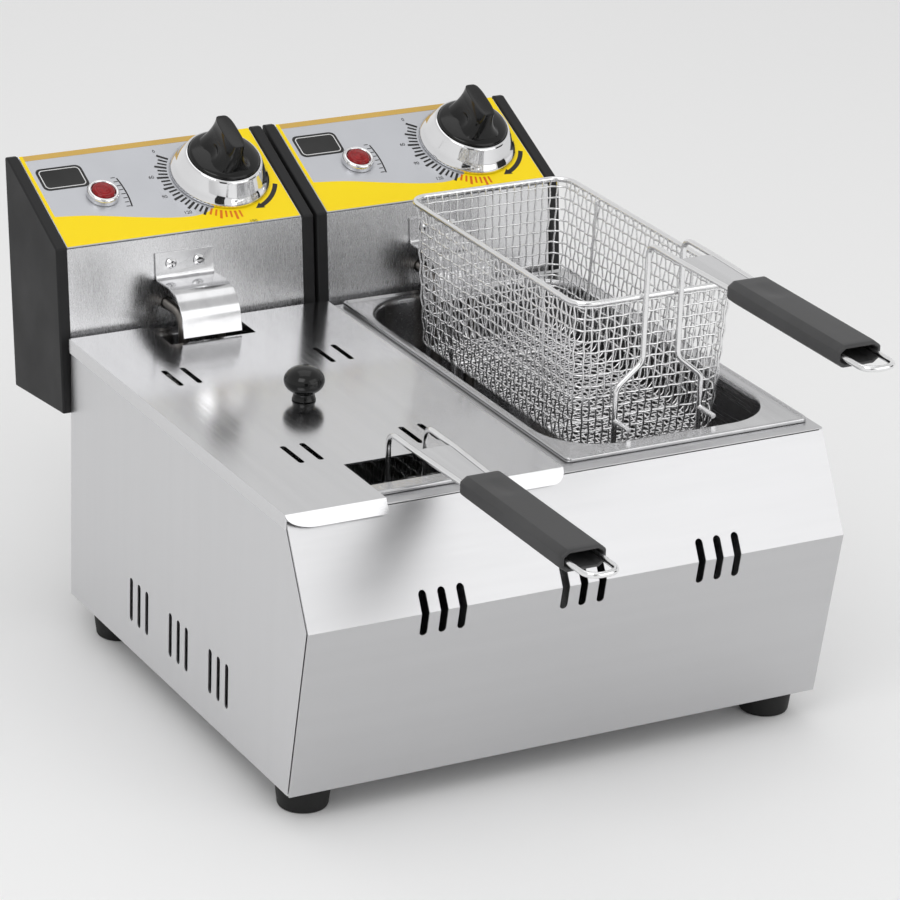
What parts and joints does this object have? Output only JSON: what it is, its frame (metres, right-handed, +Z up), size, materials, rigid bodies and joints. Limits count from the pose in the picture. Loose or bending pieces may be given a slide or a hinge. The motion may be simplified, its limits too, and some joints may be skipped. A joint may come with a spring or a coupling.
{
  "type": "deep fryer",
  "caption": "Countertop electric deep fryer with twin lift-out tanks, hanging control heads with knobs and lamps, wire baskets with long grips, and a slotted lid.",
  "frame": {"origin": "middle of the footprint of the whole object, on the worktop", "axes": "+Z up, +X to the right of the person who uses it, +Y away from that person, so the basket handles point to -Y"},
  "size_m": [0.4058, 0.651, 0.3465],
  "materials": {
    "steel": "satin brushed stainless sheet",
    "tank_steel": "smooth pressed stainless sheet",
    "wire_steel": "polished wire",
    "chrome": "bright chrome",
    "element_steel": "heat-darkened tube",
    "bracket_steel": "plain zinc-coated sheet",
    "dark_plastic": "fine matt grain",
    "black_plastic": "glossy",
    "label_film": "satin printed film",
    "lens_red": "clear glossy",
    "rubber": "matt",
    "terminal_ceramic": "unglazed"
  },
  "bodies": {
    "casing": {"casing_front": "steel", "casing_left_side": "steel", "casing_right_side": "steel", "casing_back": "steel", "base_plate": "bracket_steel", "deck_frame": "steel", "foot_rear_left": "rubber", "foot_rear_right": "rubber", "foot_front_left": "rubber", "foot_front_right": "rubber", "head_bracket_left": "bracket_steel", "head_bracket_right": "bracket_steel"},
    "tank_left": {"tank_left": "tank_steel"},
    "head_left": {"head_shell_left": "steel", "head_back_cover_left": "steel", "head_cheek_outer_left": "dark_plastic", "head_cheek_inner_left": "dark_plastic", "element_guard_left": "steel", "guard_screw_a_left": "chrome", "guard_screw_b_left": "chrome", "terminal_block_left": "terminal_ceramic", "cable_gland_left": "black_plastic", "fascia_label_left": "label_film", "thermostat_left": "bracket_steel", "lamp_bezel_left": "chrome", "lamp_lens_left": "lens_red", "heating_element_left": "element_steel", "sensor_bulb_left": "wire_steel"},
    "knob_left": {"knob_skirt_left": "chrome", "knob_grip_left": "black_plastic"},
    "basket_left": {"basket_rim_left": "wire_steel", "basket_mesh_left": "wire_steel", "basket_handle_wire_left": "wire_steel", "basket_strap_left": "wire_steel", "basket_grip_left": "dark_plastic"},
    "tank_right": {"tank_right": "tank_steel"},
    "head_right": {"head_shell_right": "steel", "head_back_cover_right": "steel", "head_cheek_outer_right": "dark_plastic", "head_cheek_inner_right": "dark_plastic", "element_guard_right": "steel", "guard_screw_a_right": "chrome", "guard_screw_b_right": "chrome", "terminal_block_right": "terminal_ceramic", "cable_gland_right": "black_plastic", "fascia_label_right": "label_film", "thermostat_right": "bracket_steel", "lamp_bezel_right": "chrome", "lamp_lens_right": "lens_red", "heating_element_right": "element_steel", "sensor_bulb_right": "wire_steel"},
    "knob_right": {"knob_skirt_right": "chrome", "knob_grip_right": "black_plastic"},
    "basket_right": {"basket_rim_right": "wire_steel", "basket_mesh_right": "wire_steel", "basket_handle_wire_right": "wire_steel", "basket_strap_right": "wire_steel", "basket_grip_right": "dark_plastic"},
    "lid": {"lid": "steel", "lid_knob": "black_plastic"}
  },
  "joints": [
    {"name": "tank_left_lift", "type": "slide", "parent": "casing", "child": "tank_left", "axis": [0, 0, 1], "range_m": [0, 0.16]},
    {"name": "head_left_lift", "type": "slide", "parent": "tank_left", "child": "head_left", "axis": [0, 0, 1], "range_m": [0, 0.15]},
    {"name": "knob_left_turn", "type": "hinge", "parent": "head_left", "child": "knob_left", "pos_m": [-0.05563, 0.27861, 0.29764], "axis": [0, -0.4108, 0.9117], "range_deg": [-300, 0]},
    {"name": "basket_left_lift", "type": "slide", "parent": "head_left", "child": "basket_left", "axis": [0, 0, 1], "range_m": [0, 0.15]},
    {"name": "tank_right_lift", "type": "slide", "parent": "casing", "child": "tank_right", "axis": [0, 0, 1], "range_m": [0, 0.16]},
    {"name": "head_right_lift", "type": "slide", "parent": "tank_right", "child": "head_right", "axis": [0, 0, 1], "range_m": [0, 0.15]},
    {"name": "knob_right_turn", "type": "hinge", "parent": "head_right", "child": "knob_right", "pos_m": [0.14538, 0.27861, 0.29764], "axis": [0, -0.4108, 0.9117], "range_deg": [-300, 0]},
    {"name": "basket_right_lift", "type": "slide", "parent": "head_right", "child": "basket_right", "axis": [0, 0, 1], "range_m": [-0.1035, 0.05]},
    {"name": "lid_lift", "type": "slide", "parent": "basket_left", "child": "lid", "axis": [0, 0, 1], "range_m": [0, 0.12]}
  ]
}
